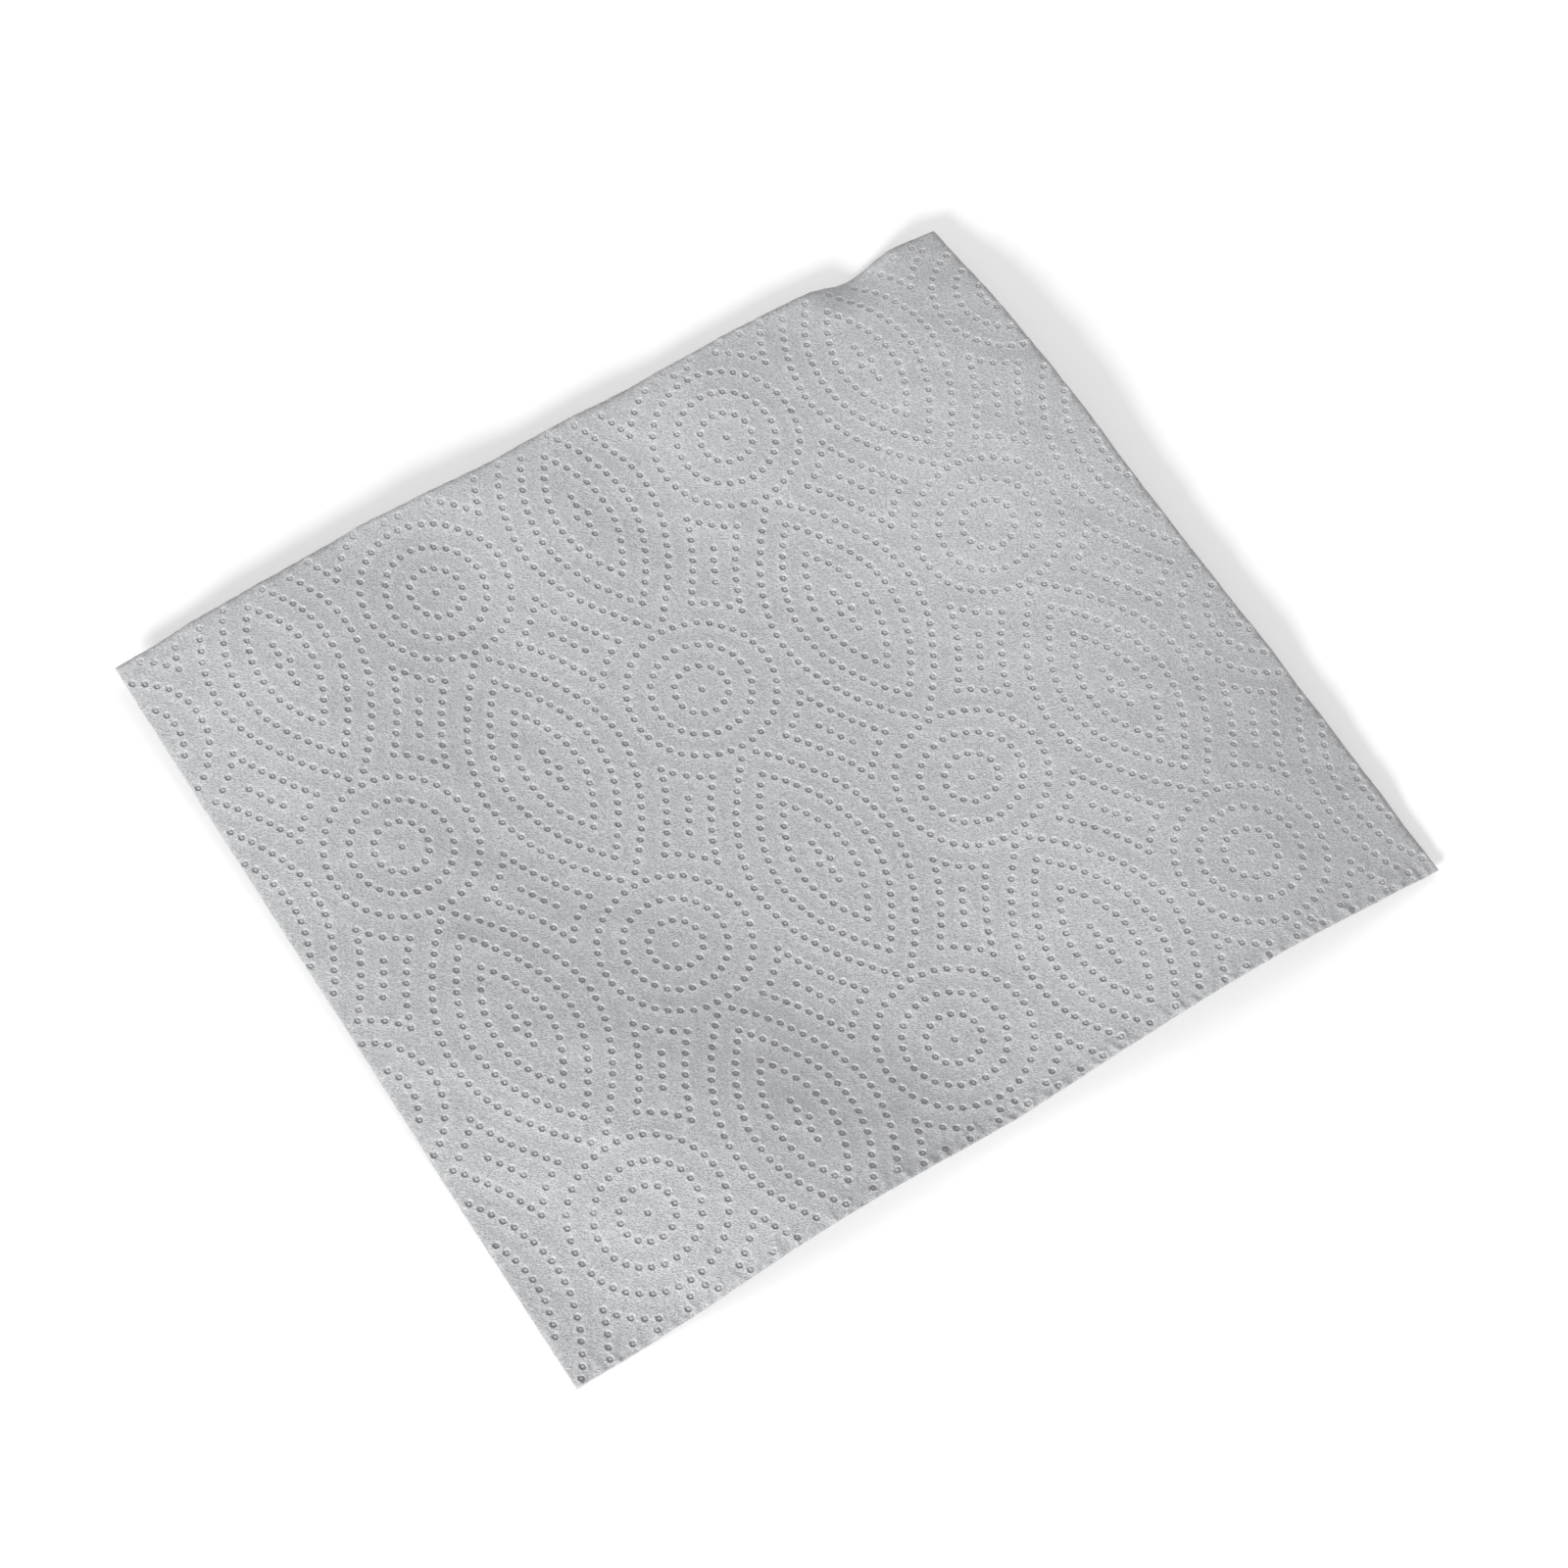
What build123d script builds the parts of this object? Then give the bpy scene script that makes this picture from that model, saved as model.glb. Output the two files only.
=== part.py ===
"""Embossed two-ply paper towel sheet, torn from its roll and lying flat on a table.

Millimetres, +Z up. The origin is in the middle of the sheet, on the table.
X runs along the roll's width and Y along the length that comes off the roll.
"""

import os
from math import acos, ceil, cos, pi, radians, sin, sqrt

from build123d import *

# The sheet
sheet_width = 280.0  # across the roll
sheet_length = 250.0  # from one tear line to the next
sheet_thickness = 0.6  # both plies with the air between them
back_tear_skew = 2.6  # how far the back tear line runs out of square over half the width
front_tear_skew = 0.5
rest_flat = 0.1  # how much of the underside is pressed flat where it bears on the table

# The waves, as heights of the sheet above the table
back_lift = 6.5
back_middle_crest = 4.1
back_right_crest = 5.8
left_side_crest = 6.7
right_side_crest = 15.0
back_right_droop = 17.5
front_left_crest = 7.5
front_right_crest = 10.9
front_lift = 4.3

# The embossed design
emboss_depth = 0.25
repeat_across = 97.6  # from one ring group to the next in the same row
repeat_along = 128.2  # from one row of ring groups to the next row in line with it
first_ring = (-2.0, 32.8)  # the ring group nearest to the middle of the sheet
ring_radii = (7.6, 14.4, 21.4)
oval_half_widths = (7.9, 14.5, 21.4)
oval_half_lengths = (21.2, 32.2, 41.8)
patch_radius = 28.0  # the arc about a ring group on which a patch's short sides lie
patch_start_angle = 33.6
patch_end_angle = 64.1
patch_side_bow = 1.15  # how far a patch's long sides bow towards its middle
outline_error = 0.32  # how far the straight sides of a curved outline may cut inside it

# The grid of heights that the skins pass through
columns = 29
rows = 15


def ramp(position, start, power=1.7):
    """Zero up to start, then rising smoothly to 1 at the edge of the sheet."""
    return max(0.0, (position - start) / (1 - start)) ** power


def ease(position):
    """Smooth step from 0 to 1."""
    inside = min(max(position, 0.0), 1.0)
    return inside * inside * (3 - 2 * inside)


def hump(position, centre, reach):
    """Smooth hump of height 1 about its centre, zero beyond its reach."""
    if abs(position - centre) >= reach:
        return 0.0
    return cos(pi * (position - centre) / (2 * reach)) ** 2


def height(across, along):
    """Height of the underside, where across and along run from -1 to 1 over the sheet."""
    crests = back_middle_crest * hump(across, -0.09, 0.28) + back_right_crest * hump(across, 0.35, 0.3)
    z = ramp(along, 0.17) * (back_lift + crests)
    left_side = left_side_crest * hump(across - 0.33 * along, -0.92, 0.45)
    right_side = right_side_crest * hump(across, 0.97, 0.7)
    z += ease((along + 0.65) / 1.6) * (left_side + right_side)
    z -= back_right_droop * ramp(along, 0.23) * ease((across - 0.26) / 0.8)
    # The two front crests draw together towards the front tear line
    front_left = front_left_crest * hump(across + 0.34 * along, -0.77, 0.47)
    front_right = front_right_crest * hump(across - 0.34 * along, 0.87, 0.63)
    z += ease((0.28 - along) / 1.02) * (front_left + front_right)
    z += front_lift * ramp(-along, 0.59) * hump(across, 0.0, 0.57)
    return z


def wavy_skin(raised, margin=0.0):
    """The sheet's underside, moved up by raised and carried past the edges by margin."""
    grid = []
    for column in range(columns):
        x = (sheet_width + 2 * margin) * (column / (columns - 1) - 0.5)
        line = []
        for row in range(rows):
            y = (sheet_length + 2 * margin) * (row / (rows - 1) - 0.5)
            across = x / (sheet_width / 2)
            along = y / (sheet_length / 2)
            skew = (back_tear_skew * (1 + along) + front_tear_skew * (1 - along)) / 2
            line.append(Vector(x, y + skew * across, height(across, along) - rest_flat + raised))
        grid.append(line)
    return Face.make_surface_from_array_of_points(grid, tol=0.06, min_deg=3, max_deg=3)


def lattice(offset_x, offset_y, reach_x, reach_y):
    """Places of one motif: two rectangular grids, one in the middle of the other, near the sheet."""
    places = []
    for i in range(-4, 5):
        for j in range(-4, 5):
            x = first_ring[0] + offset_x + (i - j) * repeat_across / 2
            y = first_ring[1] + offset_y + (i + j) * repeat_along / 2
            inside_x = abs(x) < sheet_width / 2 + reach_x
            inside_y = abs(y) < sheet_length / 2 + abs(back_tear_skew) + abs(front_tear_skew) + reach_y
            if inside_x and inside_y:
                places.append((x, y))
    return places


def ring_outline(radius, mode=Mode.ADD):
    """Many-sided ring with its corners on the circle."""
    half_sides = ceil(pi / acos(1 - outline_error / radius) / 2)
    RegularPolygon(radius, 2 * half_sides, mode=mode)


# Three rows round a ring group's centre: the rows are the edges of a disc and a band
with BuildSketch() as ring_motif:
    ring_outline(ring_radii[2])
    ring_outline(ring_radii[1], Mode.SUBTRACT)
    ring_outline(ring_radii[0])


def oval_outline(half_width, half_length):
    """Pointed oval with its corners on two parabolas, which meet at its tips."""
    sides = ceil(sqrt(half_width / outline_error))
    corners = []
    for i in range(sides + 1):
        share = 1 - 2 * i / sides
        corners.append((half_width * (1 - share**2), half_length * share))
    right = Polyline(*corners)
    mirror(right, about=Plane.YZ)


# Three rows round a pointed oval's centre
with BuildSketch() as oval_motif:
    with BuildLine():
        oval_outline(oval_half_widths[2], oval_half_lengths[2])
    make_face()
    with BuildLine():
        oval_outline(oval_half_widths[1], oval_half_lengths[1])
    make_face(mode=Mode.SUBTRACT)
    with BuildLine():
        oval_outline(oval_half_widths[0], oval_half_lengths[0])
    make_face()

# Four-sided patch between two ring groups and two ovals, about its own middle: its short
# sides bow round the ring groups and its long sides follow the ovals
patch_x = repeat_across / 4
patch_y = repeat_along / 4


def on_patch_arc(angle):
    """Point of the patch's short side that faces the ring group, from the patch's middle."""
    x = patch_radius * cos(radians(angle)) - patch_x
    y = patch_radius * sin(radians(angle)) - patch_y
    return Vector(x, y)


with BuildSketch() as patch_motif:
    start = on_patch_arc(patch_start_angle)
    middle = on_patch_arc((patch_start_angle + patch_end_angle) / 2)
    end = on_patch_arc(patch_end_angle)
    long_side = -end - start
    bow = Vector(-long_side.Y, long_side.X).normalized() * patch_side_bow
    side_middle = start + long_side / 2 + bow
    with BuildLine():
        Polyline(start, middle, end, -side_middle, -start, -middle, -end, side_middle, start)
    make_face()

# Every recess that meets the sheet, as a post that stands on the recess's wavy floor
recess_floor = sheet_thickness - emboss_depth
post_height = 60.0  # far above and below the waves
with BuildPart() as recesses:
    with BuildSketch(Plane.XY.offset(-post_height / 2)):
        with Locations(*lattice(0, 0, ring_radii[2], ring_radii[2])):
            add(ring_motif.sketch)
        with Locations(*lattice(repeat_across / 2, 0, oval_half_widths[2], oval_half_lengths[2])):
            add(oval_motif.sketch)
        with Locations(*lattice(patch_x, patch_y, patch_radius, patch_radius)):
            add(patch_motif.sketch)
        with Locations(*lattice(-patch_x, patch_y, patch_radius, patch_radius)):
            add(mirror(patch_motif.sketch, about=Plane.YZ, mode=Mode.PRIVATE))
    extrude(amount=post_height)
    floor_skin = wavy_skin(recess_floor, margin=1.5)
    extrude(floor_skin, amount=post_height, dir=(0, 0, 1), mode=Mode.INTERSECT)

with BuildPart() as towel_sheet:
    extrude(wavy_skin(0.0), amount=sheet_thickness, dir=(0, 0, 1))
    # Flat where the sheet bears on the table
    Box(
        2 * sheet_width,
        2 * sheet_length,
        post_height,
        align=(Align.CENTER, Align.CENTER, Align.MAX),
        mode=Mode.SUBTRACT,
    )
    add(recesses.part, mode=Mode.SUBTRACT)

towel_sheet.part.label = "towel_sheet"
os.makedirs("parts", exist_ok=True)
export_step(towel_sheet.part, "parts/towel_sheet.step")
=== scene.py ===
from math import pi, radians

import bpy
import numpy as np
from mathutils import Matrix, Vector
from mathutils.geometry import delaunay_2d_cdt


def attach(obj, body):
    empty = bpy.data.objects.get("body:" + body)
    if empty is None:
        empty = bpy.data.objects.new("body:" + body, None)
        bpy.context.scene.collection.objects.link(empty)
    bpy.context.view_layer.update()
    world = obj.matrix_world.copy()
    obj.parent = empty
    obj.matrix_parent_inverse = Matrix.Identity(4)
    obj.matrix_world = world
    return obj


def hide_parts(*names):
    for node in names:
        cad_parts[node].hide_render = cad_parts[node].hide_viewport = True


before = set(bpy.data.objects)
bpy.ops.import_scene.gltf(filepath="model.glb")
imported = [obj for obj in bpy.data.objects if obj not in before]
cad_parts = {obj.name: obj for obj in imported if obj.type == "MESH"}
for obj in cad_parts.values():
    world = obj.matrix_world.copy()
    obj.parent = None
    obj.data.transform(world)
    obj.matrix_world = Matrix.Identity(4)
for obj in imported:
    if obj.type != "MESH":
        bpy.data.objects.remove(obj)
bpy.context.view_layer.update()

millimetre = 0.001
print("stage: frame loaded")

# The sheet, in millimetres. Across and along run from -1 to 1 over it.
sheetSettings = {
    "width": 280.0,
    "length": 250.0,
    "backTearSkew": 2.6,  # how far a torn edge runs out of square over half the width
    "frontTearSkew": 0.5,
    "topLevel": 0.80,  # the top face above the table where the sheet lies flat
    "underLevel": 0.25,  # the underside there, between the bumps that it rests on

    # Waves: a crest is its height, its place across and its reach, and a fade is where it
    # starts and how far from there it is full
    "restFlat": 0.1,
    "softness": 0.15,  # how gently a wave leaves the table
    "backStart": 0.17,
    "backLift": 6.5,
    "backMiddleCrest": (4.1, -0.09, 0.28),
    "backRightCrest": (5.8, 0.35, 0.3),
    "sideFade": (-0.65, 1.6),
    "leftSideCrest": (6.7, -0.92, 0.45),
    "leftSideDrift": 0.33,  # how far across the crest has moved at the ends of the sheet
    "rightSideCrest": (15.0, 0.97, 0.7),
    "backRightDroop": 17.5,
    "droopStart": 0.23,
    "droopFade": (0.26, 0.8),
    "frontFade": (0.28, -1.02),
    "frontLeftCrest": (7.5, -0.77, 0.47),
    "frontRightCrest": (10.9, 0.87, 0.63),
    "frontDrift": 0.34,
    "frontStart": 0.59,
    "frontMiddleCrest": (4.3, 0.0, 0.57),
    "backEdgeStart": 0.86,
    "backEdge": (  # the back tear line's own crests and hollows
        (-2.5, -0.62, 0.26), (2.4, -0.32, 0.22), (-1.4, -0.10, 0.17), (1.6, 0.09, 0.16),
        (-3.0, 0.33, 0.24), (1.6, 0.60, 0.20), (-4.2, 0.775, 0.11), (1.4, 0.90, 0.15),
    ),

    # Embossed design: three rows of dots round each ring group and each pointed oval, and a
    # four-sided patch between them
    "firstRing": (-2.0, 32.8),
    "repeatAcross": 97.6,
    "repeatAlong": 128.2,
    "latticeReach": 4,  # repeats to each side, enough to cover the sheet
    "ringRows": ((7.64, 14), (14.39, 26), (21.38, 38)),  # radius and dots of each row
    "ovalRows": (  # half width, half length, power, intervals a side, dots at the tips
        (7.90, 21.2, 1.96, 13, True),
        (14.50, 32.2, 1.93, 21, True),
        (21.39, 41.75, 1.89, 28, False),
    ),
    "ovalPoints": 801,  # points that draw a side before its dots are spaced along it
    "ovalCore": ((0, 6.7), (0, 3.45), (0, -3.45), (0, -6.7), (1.73, 0), (-1.73, 0)),
    "patchRadius": 28.0,  # short sides lie on this circle about the ring group
    "patchAngles": (33.6, 64.1),
    "patchOval": (28.3, 52.4, 1.9),  # the oval that a long side follows, as in ovalRows
    "patchPoints": 401,
    "patchDots": (5, 9),  # on a short and on a long side
    "patchCore": ((2.74, 4.65), (0.83, 1.52), (-0.83, -1.52), (-2.74, -4.65)),

    # Pits, one at each dot
    "dotSeed": 7,
    "dotShift": 0.07,  # how far a dot strays from its place
    "edgeGap": 1.25,  # no whole dot nearer to the edge than this
    "lipRadius": 1.28,  # where the paper turns down, a little raised
    "footRadius": 0.72,
    "crownRadius": 0.36,
    "pitSides": 7,
    "pitDepth": 0.60,
    "lipRise": 0.32,  # this and the two drops below it are shares of the depth
    "crownDrop": 0.34,
    "middleDrop": 0.28,
    "depthSpread": 0.08,  # share by which the depth varies from dot to dot
    "depthLimit": 0.25,  # and the most by which it does
    "backFade": (0.45, 9.0),  # share of the depth at the back tear line, and how far that reaches
    "rightFade": (0.58, 120.0),  # the same from the right edge
    "pressed": (-1.2, 0.9, 0.1, 0.0),  # from the lip inwards: below 0 a painted highlight on the lip, above 0 painted shade in the pit together with the darkening of its pressed plies
    "creaseToneLimit": 0.3,  # a ring with more painted shade and pressing, or more painted highlight, than this is a crease
    "underRadius": 1.25,  # the blunt bump on the underside below each pit
    "underSides": 5,
    "underBump": 0.22,

    # Relief between the dots
    "reliefReach": (146.0, 134.0),  # half the grid on which the dots' hollows and folds are summed
    "reliefStep": 0.5,
    "farDots": 8.0,  # dots this far beyond the edge still shape it
    "valleyReach": 1.9,  # spread of the soft hollow that each dot draws round itself
    "valleyDepth": 0.06,
    "foldShift": 2.6,  # a low fold stands this far to the right of each dot
    "foldReach": (1.2, 2.4),
    "foldHeight": 0.115,
    "underShare": 0.5,  # how much of these hollows and folds the underside has
    "rippleCount": 60,
    "rippleWaves": (6.0, 30.0),  # shortest and longest wave of the paper's unevenness
    "rippleSlope": 0.0105,
    "rippleSeed": 21,
    "puckerCount": 16,  # wrinkles of the upper ply where the sheet was torn off
    "puckerWaves": (3.0, 6.0),
    "puckerSlope": 0.36,
    "puckerHeight": 0.65,
    "puckerSlant": 0.5,
    "puckerReach": 4.2,  # how far in they have faded to a third
    "puckerBack": 0.25,  # share of them at the back
    "puckerSeed": 5,

    # Mesh
    "topSpacing": 2.1,
    "topClearance": 2.0,  # fill points keep this far from a dot's middle
    "puckerSpacing": 0.65,  # finer along the front, as far in as puckerStart
    "puckerClearance": 1.65,
    "puckerStart": -0.955,
    "underSpacing": 3.4,
    "underClearance": 2.5,
    "faceGap": 0.5,  # no point inside a face nearer to its outline than this
    "edgeStep": 1.25,
    "frontStep": 0.7,
    "edgeRounding": 0.12,
    "raggedness": 0.05,
}


def ramp(position, start, power=1.7):
    # zero up to start, then the share of the rest that is passed, to a power
    return np.maximum(0.0, (position - start) / (1 - start)) ** power


def ease(position):
    # smooth step from 0 to 1
    inside = np.clip(position, 0.0, 1.0)
    return inside * inside * (3 - 2 * inside)


def fade(position, settings):
    # smooth step from 0 at its start to 1 at its length from there
    start, length = settings
    return ease((position - start) / length)


def crest(position, settings):
    # height times a squared cosine: 1 at its place, 0 beyond its reach
    height, place, reach = settings
    return height * np.cos(np.clip((position - place) / reach, -1.0, 1.0) * pi / 2) ** 2


def acrossAlong(x, y):
    # the sheet's own coordinates, -1 to 1 from edge to edge: the tear lines run out of square,
    # so y = along length / 2 + across (mean skew + along half the skews' difference)
    s = sheetSettings
    across = x / (s["width"] / 2)
    meanSkew = (s["backTearSkew"] + s["frontTearSkew"]) / 2
    fan = (s["backTearSkew"] - s["frontTearSkew"]) / 2
    return across, (y - meanSkew * across) / (s["length"] / 2 + fan * across)


def waveHeight(x, y):
    # the sheet's lie: crests along both sides and in the back lift, two more that draw
    # together towards the front, one in the front's middle, and the back right corner drooping
    s = sheetSettings
    across, along = acrossAlong(x, y)
    back = s["backLift"] + crest(across, s["backMiddleCrest"]) + crest(across, s["backRightCrest"])
    sides = crest(across - s["leftSideDrift"] * along, s["leftSideCrest"])
    sides = sides + crest(across, s["rightSideCrest"])
    fronts = crest(across + s["frontDrift"] * along, s["frontLeftCrest"])
    fronts = fronts + crest(across - s["frontDrift"] * along, s["frontRightCrest"])
    z = ramp(along, s["backStart"]) * back + fade(along, s["sideFade"]) * sides
    z = z - s["backRightDroop"] * ramp(along, s["droopStart"]) * fade(across, s["droopFade"])
    z = z + fade(along, s["frontFade"]) * fronts
    z = z + ramp(-along, s["frontStart"]) * crest(across, s["frontMiddleCrest"]) - s["restFlat"]
    edge = sum(crest(across, settings) for settings in s["backEdge"])
    return z + ramp(along, s["backEdgeStart"]) * edge


def ringRow(radius, count):
    # count dots spread evenly on a circle, one of them straight along the sheet
    angles = pi / 2 + 2 * pi * np.arange(count) / count
    return radius * np.stack([np.cos(angles), np.sin(angles)], axis=1)


def evenSteps(curve, intervals):
    # points at equal distances along a finely drawn curve, both ends included
    lengths = np.concatenate([[0.0], np.cumsum(np.hypot(*np.diff(curve, axis=0).T))])
    wanted = np.linspace(0.0, lengths[-1], intervals + 1)
    return np.stack([np.interp(wanted, lengths, curve[:, k]) for k in range(2)], axis=1)


def ovalRow(halfWidth, halfLength, power, intervals, tips):
    # x = halfWidth (1 - |y / halfLength| to a power), dots evenly spaced, on both sides
    y = np.linspace(halfLength, -halfLength, sheetSettings["ovalPoints"])
    x = halfWidth * (1 - np.abs(y / halfLength) ** power)
    side = evenSteps(np.stack([x, y], axis=1), intervals)[1:-1]
    ends = [[0.0, halfLength], [0.0, -halfLength]] if tips else np.empty((0, 2))
    return np.concatenate([side, side * [-1, 1], ends])


def patchDots():
    # about the patch's middle: a short side on a circle round the ring group, a long side
    # parallel to the oval beside it, and both turned half a turn for the other two sides
    s = sheetSettings
    middle = np.array([s["repeatAcross"], s["repeatAlong"]]) / 4
    shortCount, longCount = s["patchDots"]
    angles = np.radians(np.linspace(*s["patchAngles"], shortCount))
    short = s["patchRadius"] * np.stack([np.cos(angles), np.sin(angles)], axis=1)
    y = np.linspace(short[0, 1], 2 * middle[1] - short[-1, 1], s["patchPoints"])
    ovalWidth, ovalLength, power = s["patchOval"]
    x = 2 * middle[0] - ovalWidth * (1 - (y / ovalLength) ** power)
    long = evenSteps(np.stack([x, y], axis=1), longCount - 1)[1:-1]
    side = np.concatenate([short, long]) - middle
    return np.concatenate([side, -side, np.array(s["patchCore"])])


def designDots():
    # every motif at its places on two interlaced rectangular lattices, and each dot's strength:
    # 1 with a small chance difference, fading to a share towards the back and the right
    s = sheetSettings
    steps = np.arange(-s["latticeReach"], s["latticeReach"] + 1)
    i, j = (k.ravel() for k in np.meshgrid(steps, steps))
    ringX = s["firstRing"][0] + (i - j) * s["repeatAcross"] / 2
    ringY = s["firstRing"][1] + (i + j) * s["repeatAlong"] / 2
    ringPlaces = np.stack([ringX, ringY], axis=1)
    rings = np.concatenate([[[0.0, 0.0]]] + [ringRow(*row) for row in s["ringRows"]])
    ovalRows = [ovalRow(*row) for row in s["ovalRows"]]
    ovals = np.concatenate([np.array(s["ovalCore"], float)] + ovalRows)
    patch = patchDots()
    middle = np.array([s["repeatAcross"], s["repeatAlong"]]) / 4
    motifs = np.concatenate([
        rings,
        ovals + [s["repeatAcross"] / 2, 0.0],
        patch + middle,
        patch * [-1, 1] + middle * [-1, 1],
    ])
    places = (ringPlaces[:, None, :] + motifs[None, :, :]).reshape(-1, 2)
    random = np.random.default_rng(s["dotSeed"])
    places = places + random.normal(0.0, s["dotShift"], places.shape)
    spread = random.normal(0.0, s["depthSpread"], len(places))
    amounts = 1 + np.clip(spread, -s["depthLimit"], s["depthLimit"])
    across, along = acrossAlong(*places.T)
    fromBack = (1 - along) * s["length"] / 2
    fromRight = (1 - across) * s["width"] / 2
    for (share, reach), distance in ((s["backFade"], fromBack), (s["rightFade"], fromRight)):
        amounts = amounts * (share + (1 - share) * ease(distance / reach))
    return places, amounts


def insideSheet(points, gap):
    # inside the sheet's outline by at least the gap
    across, along = acrossAlong(points[:, 0], points[:, 1])
    nearSide = np.abs(across) < 1 - gap / (sheetSettings["width"] / 2)
    return nearSide & (np.abs(along) < 1 - gap / (sheetSettings["length"] / 2))


allDots, allStrengths = designDots()
whole = insideSheet(allDots, sheetSettings["edgeGap"])
dots, strengths = allDots[whole], allStrengths[whole]
print("stage: design laid out,", len(dots), "dots")


def reliefGrid(reach):
    # equal steps from one end of the relief's grid to the other
    return np.linspace(-reach, reach, round(2 * reach / sheetSettings["reliefStep"]) + 1)


gridX, gridY = (reliefGrid(reach) for reach in sheetSettings["reliefReach"])
nearDots = allDots[insideSheet(allDots, -sheetSettings["farDots"])]


def bellSum(shift, reachX, reachY):
    # a bell curve beside every dot, exp(-dx^2 / 2 reachX^2 - dy^2 / 2 reachY^2): its parts in x
    # and y are two factors, so the sum over all dots is one matrix product. A double row
    # gathers no more than a single one, through 1 - exp(-sum)
    bellX = np.exp(-((gridX[:, None] - nearDots[None, :, 0] - shift) ** 2) / (2 * reachX**2))
    bellY = np.exp(-((nearDots[:, None, 1] - gridY[None, :]) ** 2) / (2 * reachY**2))
    return 1 - np.exp(-(bellX @ bellY))


def summedRelief():
    # fold height (folds - 1/2) - valley depth (hollows - 1/2), on the grid
    s = sheetSettings
    hollows = bellSum(0.0, s["valleyReach"], s["valleyReach"])
    folds = bellSum(s["foldShift"], *s["foldReach"])
    return s["foldHeight"] * (folds - 0.5) - s["valleyDepth"] * (hollows - 0.5)


quilting = summedRelief()


def quilt(x, y):
    # bilinear reading of the quilting on its grid
    u = (x - gridX[0]) / (gridX[1] - gridX[0])
    v = (y - gridY[0]) / (gridY[1] - gridY[0])
    i = np.clip(u.astype(int), 0, len(gridX) - 2)
    j = np.clip(v.astype(int), 0, len(gridY) - 2)
    fu, fv = u - i, v - j
    low = quilting[i, j] * (1 - fu) + quilting[i + 1, j] * fu
    high = quilting[i, j + 1] * (1 - fu) + quilting[i + 1, j + 1] * fu
    return low * (1 - fv) + high * fv


def unevenness(x, y):
    # many faint sine waves of random direction and length, each with the same slope
    s = sheetSettings
    random = np.random.default_rng(s["rippleSeed"])
    lengths = np.exp(random.uniform(*np.log(s["rippleWaves"]), s["rippleCount"]))
    headings = random.uniform(0, 2 * pi, s["rippleCount"])
    phases = random.uniform(0, 2 * pi, s["rippleCount"])
    turns = 2 * pi / lengths
    inside = np.outer(x, turns * np.cos(headings)) + np.outer(y, turns * np.sin(headings)) + phases
    return np.sin(inside) @ (s["rippleSlope"] / turns)


def puckers(x, y):
    # w is a sum of short sine waves about square to the torn ends, and only its crests count, as
    # h tanh(w / h), fading inwards as exp(-distance / reach)
    s = sheetSettings
    random = np.random.default_rng(s["puckerSeed"])
    turns = 2 * pi / np.exp(random.uniform(*np.log(s["puckerWaves"]), s["puckerCount"]))
    slants = random.uniform(-s["puckerSlant"], s["puckerSlant"], s["puckerCount"])
    phases = random.uniform(0, 2 * pi, s["puckerCount"])
    inside = np.outer(x, turns) + np.outer(y, turns * slants) + phases
    waves = np.maximum(np.sin(inside) @ (s["puckerSlope"] / turns), 0.0)
    crests = s["puckerHeight"] * np.tanh(waves / s["puckerHeight"])
    along = acrossAlong(x, y)[1]
    reach = s["puckerReach"] / (s["length"] / 2)
    return crests * (np.exp(-(1 + along) / reach) + s["puckerBack"] * np.exp(-(1 - along) / reach))


def lieHeight(x, y):
    # the waves v with the paper's unevenness, never below the table:
    # (v + the root of (v^2 + softness^2)) / 2
    v = waveHeight(x, y) + unevenness(x, y)
    return (v + np.sqrt(v * v + sheetSettings["softness"] ** 2)) / 2


def topHeight(x, y):
    # the sheet's lie, the top's level, the quilting and the puckers together
    return lieHeight(x, y) + sheetSettings["topLevel"] + quilt(x, y) + puckers(x, y)


def underHeight(x, y):
    # the sheet's lie, the underside's level and a share of the quilting
    s = sheetSettings
    return lieHeight(x, y) + s["underLevel"] + s["underShare"] * quilt(x, y)


def edgeLoop():
    # the sheet's outline, walked anticlockwise in equal steps on each side
    s = sheetSettings
    frontSteps = round(s["width"] / s["frontStep"])
    backSteps = round(s["width"] / s["edgeStep"])
    alongSteps = round(s["length"] / s["edgeStep"])
    front = np.linspace(-1, 1, frontSteps + 1)[:-1]
    back = np.linspace(1, -1, backSteps + 1)[:-1]
    side = np.linspace(-1, 1, alongSteps + 1)[:-1]
    across = np.concatenate([front, np.ones(alongSteps), back, -np.ones(alongSteps)])
    along = np.concatenate([-np.ones(frontSteps), side, np.ones(backSteps), -side])
    skew = (s["backTearSkew"] * (1 + along) + s["frontTearSkew"] * (1 - along)) / 2
    return np.stack([across * s["width"] / 2, along * s["length"] / 2 + skew * across], axis=1)


def raggedEdge(points, amount):
    # moves outline points in and out a little, as torn and cut paper does
    random = np.random.default_rng(sheetSettings["dotSeed"] + 1)
    shifts = random.normal(0.0, amount, points.shape)
    return points + (shifts + np.roll(shifts, 1, axis=0)) / 2


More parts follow.
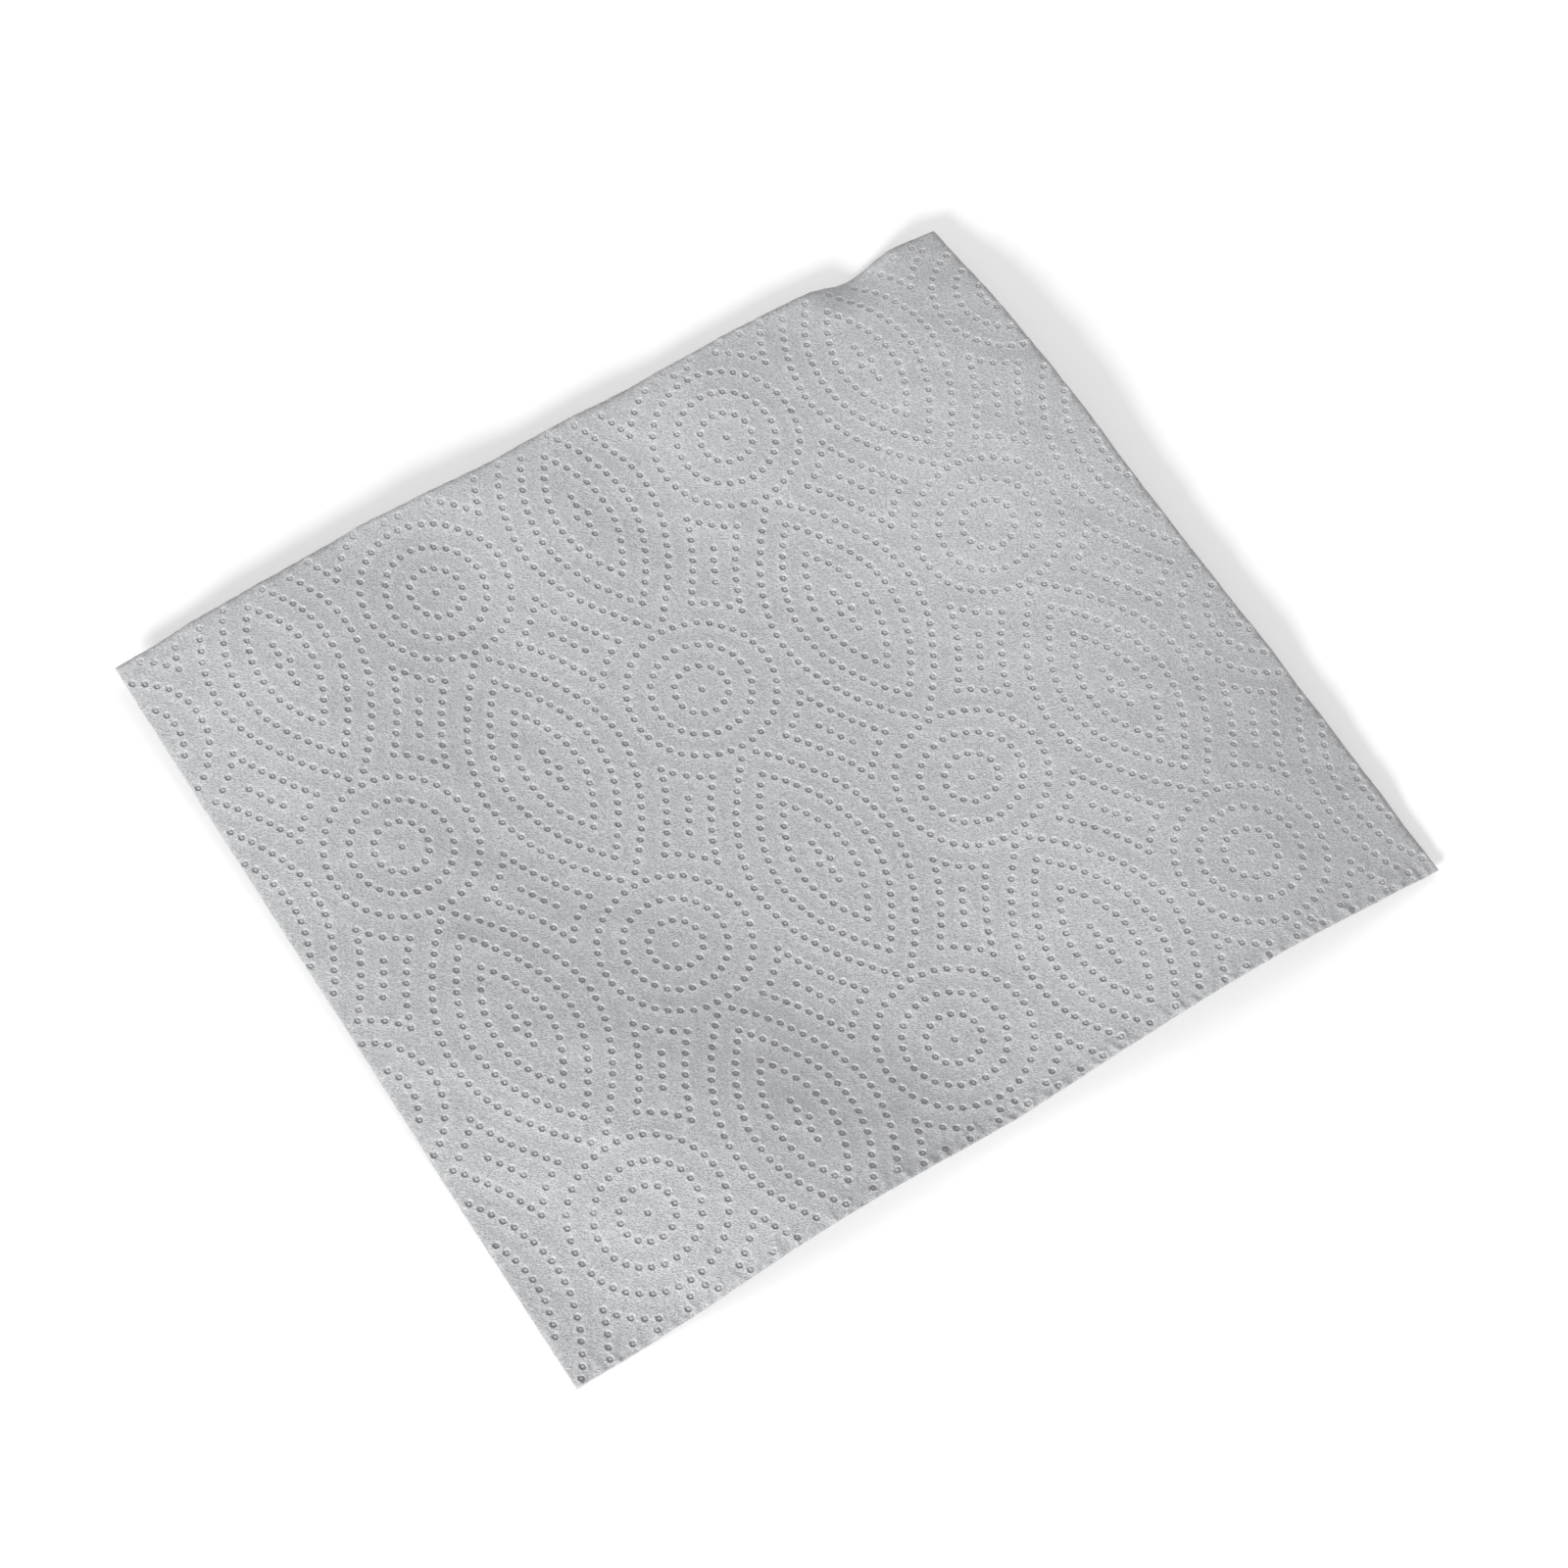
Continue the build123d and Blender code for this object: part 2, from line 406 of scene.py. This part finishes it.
def fillPoints(spacing, clearance, nearest=-1.0, farthest=1.0):
    # a hexagonal grid between two places along the sheet, without the points near a dot
    s = sheetSettings
    margin = 5  # more than the skew of the tear lines
    rows = np.arange(-s["length"] / 2 - margin, s["length"] / 2 + margin, spacing * 3**0.5 / 2)
    columns = np.arange(-s["width"] / 2, s["width"] / 2, spacing)
    x, y = np.meshgrid(columns, rows)
    x = x + (np.arange(len(rows)) % 2)[:, None] * spacing / 2
    points = np.stack([x.ravel(), y.ravel()], axis=1)
    points = points[insideSheet(points, spacing / 2)]
    along = acrossAlong(points[:, 0], points[:, 1])[1]
    points = points[(along >= nearest) & (along < farthest)]
    closest = np.full(len(points), np.inf)
    blockSize = 400  # dots compared at once, to hold less in memory
    for start in range(0, len(dots), blockSize):
        block = dots[start:start + blockSize]
        gapX = points[:, None, 0] - block[None, :, 0]
        gapY = points[:, None, 1] - block[None, :, 1]
        closest = np.minimum(closest, (gapX**2 + gapY**2).min(axis=1))
    return points[closest > clearance**2]


def dotRings(radius, sides):
    # sides points round every dot, each dot's ring turned its own way
    turns = np.random.default_rng(sheetSettings["dotSeed"] + 2).uniform(0, 2 * pi, len(dots))
    angles = turns[:, None] + 2 * pi * np.arange(sides)[None, :] / sides
    circles = radius * np.stack([np.cos(angles), np.sin(angles)], axis=2)
    return (dots[:, None, :] + circles).reshape(-1, 2)


def triangulate(points, loopCount, upwards):
    # Delaunay triangles over points whose first loopCount are the outline, all facing one way
    loop = np.arange(loopCount)
    edges = np.stack([loop, np.roll(loop, -1)], axis=1).tolist()
    insideOnly, tolerance = 1, 1e-6
    result = delaunay_2d_cdt(points.tolist(), edges, [], insideOnly, tolerance)
    places = np.array(result[0])
    triangles = np.array(result[2], dtype=np.int64)
    origins = np.array([o[0] for o in result[3]])
    a, b, c = (places[triangles[:, k]] for k in range(3))
    area = (b[:, 0] - a[:, 0]) * (c[:, 1] - a[:, 1]) - (b[:, 1] - a[:, 1]) * (c[:, 0] - a[:, 0])
    wrong = (area > 0) != upwards
    triangles[wrong] = triangles[wrong][:, ::-1]
    return origins[triangles]


def drawnFace(points, drops, pressed, heightAt, loopCount, upwards):
    # points outside the outline or too close to it are left out, and each z = height - drop
    kept = insideSheet(points, sheetSettings["faceGap"])
    kept[:loopCount] = True
    points = points[kept]
    heights = heightAt(points[:, 0], points[:, 1]) - drops[kept]
    faces = triangulate(points, loopCount, upwards)
    return np.column_stack([points, heights]), pressed[kept], faces


def buildSheet():
    # two faces with one outline, joined by a rim
    s = sheetSettings
    rimLoop = raggedEdge(edgeLoop(), s["raggedness"])
    faceLoop = rimLoop * (1 - s["edgeRounding"] / (s["width"] / 2))
    count = len(faceLoop)

    # top: outline, then the lip, foot and raised middle of every pit, and fill between
    sides = s["pitSides"]
    lips = dotRings(s["lipRadius"], sides)
    feet = dotRings(s["footRadius"], sides)
    crowns = dotRings(s["crownRadius"], sides)
    fill = np.concatenate([
        fillPoints(s["topSpacing"], s["topClearance"], nearest=s["puckerStart"]),
        fillPoints(s["puckerSpacing"], s["puckerClearance"], farthest=s["puckerStart"]),
    ])
    points = np.concatenate([faceLoop, lips, feet, crowns, dots, fill])
    counts = [count, len(lips), len(feet), len(crowns), len(dots), len(fill)]
    shares = np.repeat([0.0, -s["lipRise"], 1.0, s["crownDrop"], s["middleDrop"], 0.0], counts)
    ringStrengths = np.repeat(strengths, sides)
    byDot = [ringStrengths, ringStrengths, ringStrengths, strengths]
    byDot = np.concatenate([np.ones(count), *byDot, np.ones(len(fill))])
    drops = s["pitDepth"] * shares * byDot
    # each pit's painted highlight on the lip and painted shade with the pressing further in, for
    # every point
    pressed = np.repeat([0.0, *s["pressed"], 0.0], counts) * byDot
    top, topPressingAndLight, topFaces = drawnFace(points, drops, pressed, topHeight, count, True)

    # underside: outline, a foot and a blunt top for the bump under each pit, and fill
    bumpFeet = dotRings(s["underRadius"], s["underSides"])
    fill = fillPoints(s["underSpacing"], s["underClearance"])
    points = np.concatenate([faceLoop, bumpFeet, dots, fill])
    counts = [count, len(bumpFeet), len(dots), len(fill)]
    drops = np.repeat([0.0, 0.0, s["underBump"], 0.0], counts)
    # the underside takes the middle's share of the painted shade and pressing, which is none
    pressed = np.repeat([0.0, 0.0, s["pressed"][-1], 0.0], counts)
    under, underPressingAndLight, underFaces = drawnFace(points, drops, pressed, underHeight, count, False)

    # rim: one loop of points stands out between the two faces
    rim = np.column_stack([rimLoop, (top[:count, 2] + under[:count, 2]) / 2])
    vertices = np.concatenate([top, under, rim])
    pressed = np.concatenate([topPressingAndLight, underPressingAndLight, np.zeros(count)])
    topLoop = np.arange(count)
    underLoop = topLoop + len(top)
    middleLoop = topLoop + len(top) + len(under)
    rimFaces = []
    for upper, lower in ((topLoop, middleLoop), (middleLoop, underLoop)):
        upperNext, lowerNext = np.roll(upper, -1), np.roll(lower, -1)
        rimFaces.append(np.stack([lower, lowerNext, upperNext], axis=1))
        rimFaces.append(np.stack([lower, upperNext, upper], axis=1))
    faces = np.concatenate([topFaces, underFaces + len(top)] + rimFaces)
    vertices[:, 2] = np.maximum(vertices[:, 2], 0.0)
    return vertices * millimetre, faces, pressed


def meshFrom(name, vertices, faces, pressed):
    # an object from whole arrays, smooth but for the creases at each pit's lip and foot: the edges
    # whose two ends both carry painted shade with pressing, or both a painted highlight, by more
    # than the limit
    mesh = bpy.data.meshes.new(name)
    mesh.vertices.add(len(vertices))
    mesh.vertices.foreach_set("co", vertices.astype(np.float32).ravel())
    mesh.loops.add(faces.size)
    mesh.loops.foreach_set("vertex_index", faces.astype(np.int32).ravel())
    mesh.polygons.add(len(faces))
    mesh.polygons.foreach_set("loop_start", np.arange(0, faces.size, 3, dtype=np.int32))
    mesh.update(calc_edges=True)
    # each point's painted highlight, or painted shade with pressing, read by the paper's colour
    pressedLayer = mesh.attributes.new("pressed", "FLOAT", "POINT")
    pressedLayer.data.foreach_set("value", pressed.astype(np.float32))
    ends = np.empty(2 * len(mesh.edges), dtype=np.int32)
    mesh.edges.foreach_get("vertices", ends)
    pressedEnds = pressed[ends.reshape(-1, 2)]
    limit = sheetSettings["creaseToneLimit"]
    creased = (pressedEnds > limit).all(axis=1) | (pressedEnds < -limit).all(axis=1)
    mesh.attributes.new("sharp_edge", "BOOLEAN", "EDGE").data.foreach_set("value", creased)
    mesh.shade_smooth()
    piece = bpy.data.objects.new(name, mesh)
    bpy.context.scene.collection.objects.link(piece)
    return piece


towelSheet = meshFrom("embossedSheet", *buildSheet())
print("stage: sheet built,", len(towelSheet.data.polygons), "triangles")

# Paper: pale grey and matt, with a grain of short crossed fibres and a coarser crepe
paperFinish = {
    "colour": (0.590, 0.595, 0.607),
    "pressedShade": 0.075,  # how much the paper darkens in each pit, for its pressed plies and as painted shade, and lightens on its lip as a painted highlight
    "fibreSpread": 0.38,  # share by which the fibres lighten and darken the colour
    "fibreSize": 1.8,  # fibres in a millimetre
    "fibreDetail": 3.0,
    "fibreStretch": (1.7, 0.75, 1.0),
    "fibreTurns": (0.5, -0.75),  # the two ways that the fibres lie, in radians
    "fibreHeight": 0.00044,  # of the bumps, in metres
    "fibreSpan": 0.4,  # how far the two sets of fibres together stray from 1
    "crepeSize": 0.55,
    "crepeDetail": 2.0,
    "crepeHeight": 0.00008,
    "noiseRoughness": 0.6,
    "roughness": 0.92,
    "specular": 0.18,
    "sheen": 0.12,
}


def node(tree, kind, place, **settings):
    # a shader node of one kind at its place in the tree
    made = tree.nodes.new(kind)
    made.location = place
    for name, value in settings.items():
        setattr(made, name, value)
    return made


def arithmetic(tree, operation, place, first, second):
    # a Math node on two inputs, each a socket or a number
    made = node(tree, "ShaderNodeMath", place, operation=operation)
    for socket, value in zip(made.inputs, (first, second)):
        if isinstance(value, bpy.types.NodeSocket):
            tree.links.new(value, socket)
        else:
            socket.default_value = value
    return made.outputs["Value"]


def noise(tree, place, vector, size, detail):
    # three-dimensional noise, about 1/2 in the mean
    made = node(tree, "ShaderNodeTexNoise", place, noise_dimensions="3D")
    made.inputs["Scale"].default_value = size
    made.inputs["Detail"].default_value = detail
    made.inputs["Roughness"].default_value = paperFinish["noiseRoughness"]
    tree.links.new(vector, made.inputs["Vector"])
    return made.outputs["Fac"]


def paperMaterial(finish):
    # matt paper, toned by the fibres, by the pressing with painted shade in each pit and by a
    # painted highlight on each lip, with the fibres and the crepe as bumps
    material = bpy.data.materials.new("embossedPaper")
    material.use_nodes = True
    tree = material.node_tree
    tree.nodes.clear()
    link = tree.links.new
    output = node(tree, "ShaderNodeOutputMaterial", (1100, 0))
    shader = node(tree, "ShaderNodeBsdfPrincipled", (800, 0))
    coordinates = node(tree, "ShaderNodeTexCoord", (-1300, 0))
    millimetres = node(tree, "ShaderNodeMapping", (-1100, 0))
    millimetres.inputs["Scale"].default_value = (1 / millimetre, 1 / millimetre, 1 / millimetre)
    link(coordinates.outputs["Object"], millimetres.inputs["Vector"])

    # two sets of stretched fibres, crossing each other
    sets = []
    for turn, height in zip(finish["fibreTurns"], (300, 0)):
        lie = node(tree, "ShaderNodeMapping", (-900, height), vector_type="TEXTURE")
        lie.inputs["Rotation"].default_value = (0, 0, turn)
        lie.inputs["Scale"].default_value = finish["fibreStretch"]
        link(millimetres.outputs["Vector"], lie.inputs["Vector"])
        lain = lie.outputs["Vector"]
        sets.append(noise(tree, (-650, height), lain, finish["fibreSize"], finish["fibreDetail"]))
    fibres = arithmetic(tree, "ADD", (-400, 200), *sets)  # about 1 in the mean
    plain = millimetres.outputs["Vector"]
    crepe = noise(tree, (-650, -300), plain, finish["crepeSize"], finish["crepeDetail"])

    # colour = paper colour (1 + spread (fibres - 1) / span) (1 - strength x pit tone): painted
    # shade with the pressing in each pit, a painted highlight on its lip
    spread = finish["fibreSpread"] / finish["fibreSpan"]
    tone = arithmetic(tree, "MULTIPLY", (-200, 300), fibres, spread)
    tone = arithmetic(tree, "ADD", (0, 300), tone, 1 - spread)
    # the painted shade and painted highlight of every pit, read from the mesh
    pressed = node(tree, "ShaderNodeAttribute", (-400, 500), attribute_name="pressed")
    shadeAndHighlightScale = -finish["pressedShade"]
    shade = arithmetic(tree, "MULTIPLY", (-200, 500), pressed.outputs["Fac"], shadeAndHighlightScale)
    shade = arithmetic(tree, "ADD", (0, 500), shade, 1.0)
    tone = arithmetic(tree, "MULTIPLY", (200, 400), tone, shade)
    colour = node(tree, "ShaderNodeVectorMath", (400, 300), operation="SCALE")
    colour.inputs[0].default_value = finish["colour"]
    link(tone, colour.inputs["Scale"])
    link(colour.outputs["Vector"], shader.inputs["Base Color"])

    coarse = node(tree, "ShaderNodeBump", (0, -200))
    coarse.inputs["Distance"].default_value = finish["crepeHeight"]
    link(crepe, coarse.inputs["Height"])
    fine = node(tree, "ShaderNodeBump", (400, -100))
    fine.inputs["Distance"].default_value = finish["fibreHeight"]
    link(fibres, fine.inputs["Height"])
    link(coarse.outputs["Normal"], fine.inputs["Normal"])
    link(fine.outputs["Normal"], shader.inputs["Normal"])

    shader.inputs["Roughness"].default_value = finish["roughness"]
    shader.inputs["Specular IOR Level"].default_value = finish["specular"]
    shader.inputs["Sheen Weight"].default_value = finish["sheen"]
    link(shader.outputs["BSDF"], output.inputs["Surface"])
    return material


towelSheet.data.materials.append(paperMaterial(paperFinish))
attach(towelSheet, "root")
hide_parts("towel_sheet")
print("stage: paper finished")

# Studio: a pale table, a soft lamp low on the left and a broad one overhead
studio = {
    "tableColour": (0.80, 0.80, 0.80, 1.0),
    "tableRoughness": 0.8,
    "tableGlow": 0.30,  # whitens the table for the camera alone, and leaves the shadow on it
    "tableSize": 3.0,
    "worldStrength": 0.45,
    "keyPlace": (-3.06, -2.00, 1.63),
    "keySize": 0.8,
    "keyPower": 147.0,
    "overheadPlace": (0.4, 0.4, 1.0),
    "overheadSize": 0.8,
    "overheadPower": 2.0,
}


def seenDirectly(tree):
    # 1 where the camera, a reflection or glass looks at it, and 0 where it lights other things
    rays = node(tree, "ShaderNodeLightPath", (-700, 300)).outputs
    seen = arithmetic(tree, "MAXIMUM", (-500, 300), rays["Is Camera Ray"], rays["Is Glossy Ray"])
    return arithmetic(tree, "MAXIMUM", (-300, 300), seen, rays["Is Transmission Ray"])


def tableMaterial(colour, roughness, glow):
    # a plain colour, with a glow added where it is looked at
    material = bpy.data.materials.new("paleTable")
    material.use_nodes = True
    tree = material.node_tree
    tree.nodes.clear()
    link = tree.links.new
    output = node(tree, "ShaderNodeOutputMaterial", (500, 0))
    plain = node(tree, "ShaderNodeBsdfPrincipled", (0, 0))
    plain.inputs["Base Color"].default_value = colour
    plain.inputs["Roughness"].default_value = roughness
    whitening = node(tree, "ShaderNodeEmission", (0, -400))
    glowing = arithmetic(tree, "MULTIPLY", (-150, 300), seenDirectly(tree), glow)
    link(glowing, whitening.inputs["Strength"])
    together = node(tree, "ShaderNodeAddShader", (300, 0))
    link(plain.outputs["BSDF"], together.inputs[0])
    link(whitening.outputs["Emission"], together.inputs[1])
    link(together.outputs["Shader"], output.inputs["Surface"])
    return material


half = studio["tableSize"] / 2
tableMesh = bpy.data.meshes.new("table")
tableCorners = [(-half, -half, 0), (half, -half, 0), (half, half, 0), (-half, half, 0)]
tableMesh.from_pydata(tableCorners, [], [(0, 1, 2, 3)])
paleTable = tableMaterial(studio["tableColour"], studio["tableRoughness"], studio["tableGlow"])
tableMesh.materials.append(paleTable)
table = bpy.data.objects.new("table", tableMesh)
bpy.context.scene.collection.objects.link(table)


def areaLamp(name, place, size, power):
    # a round lamp that looks at the middle of the sheet
    lamp = bpy.data.lights.new(name, "AREA")
    lamp.shape = "DISK"
    lamp.size = size
    lamp.energy = power
    holder = bpy.data.objects.new(name, lamp)
    holder.location = place
    holder.rotation_euler = (-Vector(place)).to_track_quat("-Z", "Y").to_euler()
    bpy.context.scene.collection.objects.link(holder)


areaLamp("keyLamp", studio["keyPlace"], studio["keySize"], studio["keyPower"])
areaLamp("overheadLamp", studio["overheadPlace"], studio["overheadSize"], studio["overheadPower"])


def studioWorld(strength):
    # soft light all round, and plain white where it is looked at
    world = bpy.data.worlds.new("studioWorld")
    world.use_nodes = True
    tree = world.node_tree
    tree.nodes.clear()
    link = tree.links.new
    output = node(tree, "ShaderNodeOutputWorld", (400, 0))
    soft = node(tree, "ShaderNodeBackground", (0, 100))
    soft.inputs["Color"].default_value = (1, 1, 1, 1)
    soft.inputs["Strength"].default_value = strength
    white = node(tree, "ShaderNodeBackground", (0, -100))
    white.inputs["Color"].default_value = (1, 1, 1, 1)
    pick = node(tree, "ShaderNodeMixShader", (200, 0))
    link(seenDirectly(tree), pick.inputs["Fac"])
    link(soft.outputs["Background"], pick.inputs[1])
    link(white.outputs["Background"], pick.inputs[2])
    link(pick.outputs["Shader"], output.inputs["Surface"])
    return world


bpy.context.scene.world = studioWorld(studio["worldStrength"])

# Camera: above the front left corner, looking down on the sheet
cameraView = {
    "place": (-0.30725, -0.43695, 0.99237),
    "target": (0.00147, -0.00468, 0.0),
    "roll": 3.13,
    "lens": 92.475,
    "sensor": 36.0,
    "clipEnd": 20.0,
}
camera = bpy.data.objects.new("camera", bpy.data.cameras.new("camera"))
bpy.context.scene.collection.objects.link(camera)
camera.data.sensor_width = cameraView["sensor"]
camera.data.lens = cameraView["lens"]
camera.data.clip_end = cameraView["clipEnd"]
aim = (Vector(cameraView["target"]) - Vector(cameraView["place"])).to_track_quat("-Z", "Y")
turned = aim.to_matrix().to_4x4() @ Matrix.Rotation(radians(cameraView["roll"]), 4, "Z")
camera.matrix_world = Matrix.Translation(cameraView["place"]) @ turned
bpy.context.scene.camera = camera
bpy.context.scene.view_settings.view_transform = "Standard"
print("stage: studio set")
